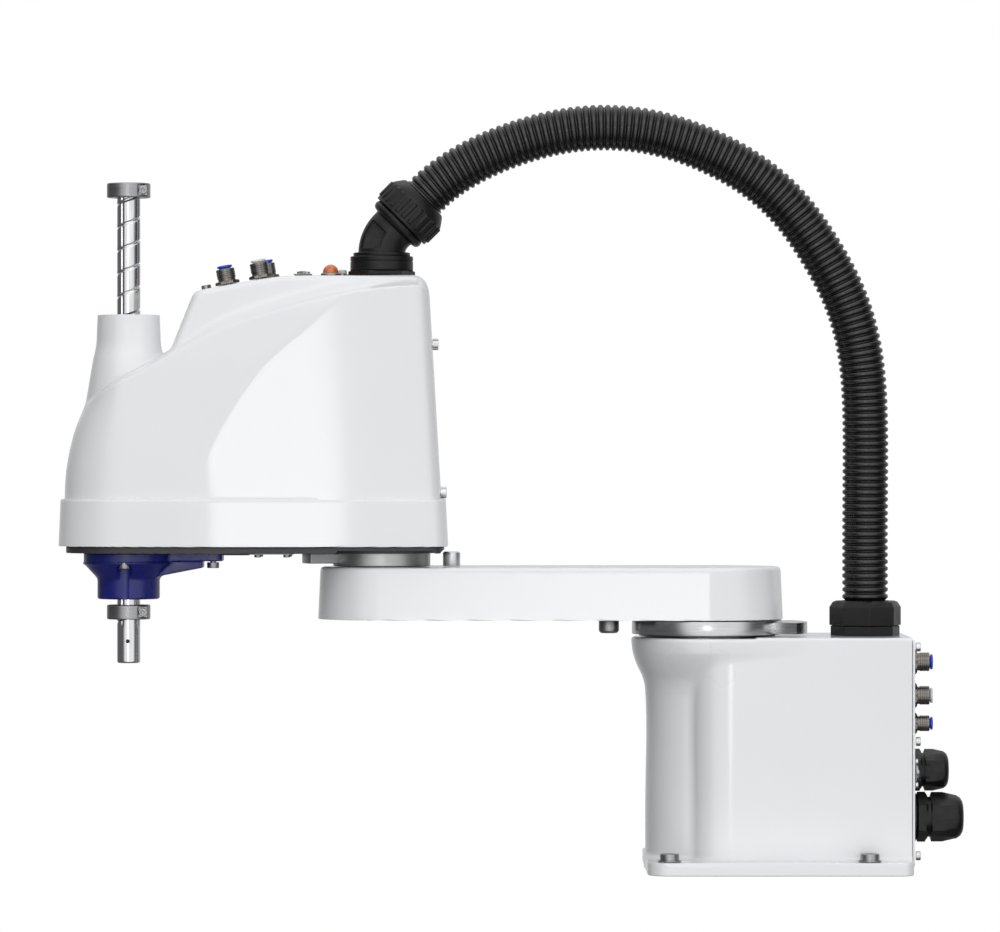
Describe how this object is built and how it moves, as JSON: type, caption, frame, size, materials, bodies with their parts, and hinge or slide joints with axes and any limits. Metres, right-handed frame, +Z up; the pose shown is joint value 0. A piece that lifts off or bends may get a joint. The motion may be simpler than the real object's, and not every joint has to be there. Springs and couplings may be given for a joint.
{
  "type": "scara robot arm",
  "caption": "Tabletop SCARA robot arm: a bolted base, two arms that swing level, a hollow shaft that turns and slides, and a corrugated cable conduit.",
  "frame": {"origin": "on the mounting plane, at the first joint's axis", "axes": "+Z up along the joint axes, the stretched arm points along -X, the cable side of the base faces +X"},
  "size_m": [0.6255, 0.15, 0.528],
  "materials": {
    "white_paint": "gloss white paint",
    "dark_casting": "satin dark grey paint on a casting",
    "steel": "ground steel",
    "dark_nickel": "dark nickel plating",
    "black_steel": "black oxide",
    "aluminium": "machined aluminium",
    "blue_paint": "satin navy paint",
    "black_plastic": "satin black moulding",
    "black_rubber": "matt rubber",
    "grey_plastic": "matt moulding",
    "orange_lens": "clear orange lens"
  },
  "bodies": {
    "base": {"base_casting": "white_paint", "connector_plate": "white_paint", "j1_motor": "black_steel", "j1_reducer": "steel", "j1_stop_flange": "steel", "mounting_bolt_1": "black_steel", "mounting_bolt_2": "black_steel", "mounting_bolt_3": "black_steel", "mounting_bolt_4": "black_steel", "base_air_fitting_1": "dark_nickel", "base_air_fitting_2": "dark_nickel", "base_air_fitting_3": "dark_nickel", "base_user_connector": "dark_nickel", "signal_cable_gland": "black_plastic", "power_cable_gland": "black_plastic", "conduit_base_nut": "black_plastic", "conduit_hose": "black_plastic"},
    "j1_rotor": {"j1_motor_shaft": "steel"},
    "arm1": {"arm1_casting": "white_paint", "arm1_bottom_cover": "dark_casting", "j1_reducer_output": "steel", "j2_reducer_output": "steel", "j1_stop_pin": "steel", "j2_stop_pin": "steel"},
    "arm2": {"arm2_frame": "dark_casting", "j2_stop_block": "steel", "arm2_cover": "white_paint", "spline_housing": "blue_paint", "housing_bolt_1": "steel", "housing_bolt_2": "steel", "arm_air_fitting_1": "dark_nickel", "arm_air_fitting_2": "dark_nickel", "arm_air_fitting_3": "dark_nickel", "arm_user_connector": "dark_nickel", "motor_on_lamp": "orange_lens", "cover_screw_upper": "steel", "cover_screw_lower": "steel", "cover_screw_top": "steel", "j2_reducer": "steel", "j2_motor": "black_steel", "j3_motor": "black_steel", "j4_motor": "black_steel", "j3_brake": "black_steel", "j3_belt": "black_rubber", "j4_belt": "black_rubber", "drive_bracket": "aluminium", "conduit_socket": "black_plastic"},
    "j2_rotor": {"j2_motor_shaft": "steel"},
    "j3_rotor": {"j3_motor_pulley": "aluminium"},
    "j4_rotor": {"j4_motor_pulley": "aluminium"},
    "button": {"brake_release_button": "grey_plastic"},
    "elbow": {"conduit_elbow": "black_plastic", "conduit_union_nut": "black_plastic"},
    "spline": {"spline_nut": "steel", "j4_driven_pulley": "aluminium"},
    "screw": {"screw_nut": "steel", "j3_driven_pulley": "aluminium"},
    "shaft": {"screw_spline_shaft": "steel", "upper_stop_collar": "black_steel", "lower_stop_collar": "black_steel"}
  },
  "joints": [
    {"name": "j1_turn", "type": "hinge", "parent": "base", "child": "arm1", "pos_m": [0, 0, 0.1728], "axis": [0, 0, 1], "range_deg": [-132, 132], "deforming": ["conduit_hose"]},
    {"name": "j1_motor_turn", "type": "hinge", "parent": "base", "child": "j1_rotor", "pos_m": [0, 0, 0.128], "axis": [0, 0, 1], "range_deg": [-10600, 10600]},
    {"name": "j2_turn", "type": "hinge", "parent": "arm1", "child": "arm2", "pos_m": [-0.225, 0, 0.2179], "axis": [0, 0, -1], "range_deg": [-141, 141]},
    {"name": "j2_motor_turn", "type": "hinge", "parent": "arm2", "child": "j2_rotor", "pos_m": [-0.225, 0, 0.228], "axis": [0, 0, -1], "range_deg": [-7100, 7100]},
    {"name": "j4_turn", "type": "hinge", "parent": "arm2", "child": "spline", "pos_m": [-0.4, 0, 0.19], "axis": [0, 0, 1], "range_deg": [-360, 360]},
    {"name": "j4_motor_turn", "type": "hinge", "parent": "arm2", "child": "j4_rotor", "pos_m": [-0.268, 0, 0.26], "axis": [0, 0, 1], "range_deg": [-800, 800]},
    {"name": "j3_slide", "type": "slide", "parent": "spline", "child": "shaft", "axis": [0, 0, 1], "range_m": [-0.15, 0]},
    {"name": "screw_nut_turn", "type": "hinge", "parent": "spline", "child": "screw", "pos_m": [-0.4, 0, 0.28], "axis": [0, 0, 1], "range_deg": [0, 3376]},
    {"name": "j3_motor_turn", "type": "hinge", "parent": "arm2", "child": "j3_rotor", "pos_m": [-0.311, 0, 0.26], "axis": [0, 0, 1], "range_deg": [0, 7430]},
    {"name": "conduit_swivel", "type": "hinge", "parent": "arm2", "child": "elbow", "pos_m": [-0.225, 0, 0.423], "axis": [0, 0, -1], "range_deg": [-141, 141]},
    {"name": "brake_release_press", "type": "slide", "parent": "arm2", "child": "button", "axis": [0, 0, -1], "range_m": [0, 0.0015], "stiffness_N_per_m": 800, "springref_m": -0.002}
  ],
  "couplings": [
    {"joint": "j1_motor_turn", "follows": "j1_turn", "ratio": -80},
    {"joint": "j2_motor_turn", "follows": "j2_turn", "ratio": -50},
    {"joint": "j4_motor_turn", "follows": "j4_turn", "ratio": 2.2},
    {"joint": "screw_nut_turn", "follows": "j3_slide", "rad_per_m": -392.7},
    {"joint": "j3_motor_turn", "follows": "j3_slide", "rad_per_m": -863.94},
    {"joint": "conduit_swivel", "follows": "j2_turn", "ratio": -1}
  ]
}
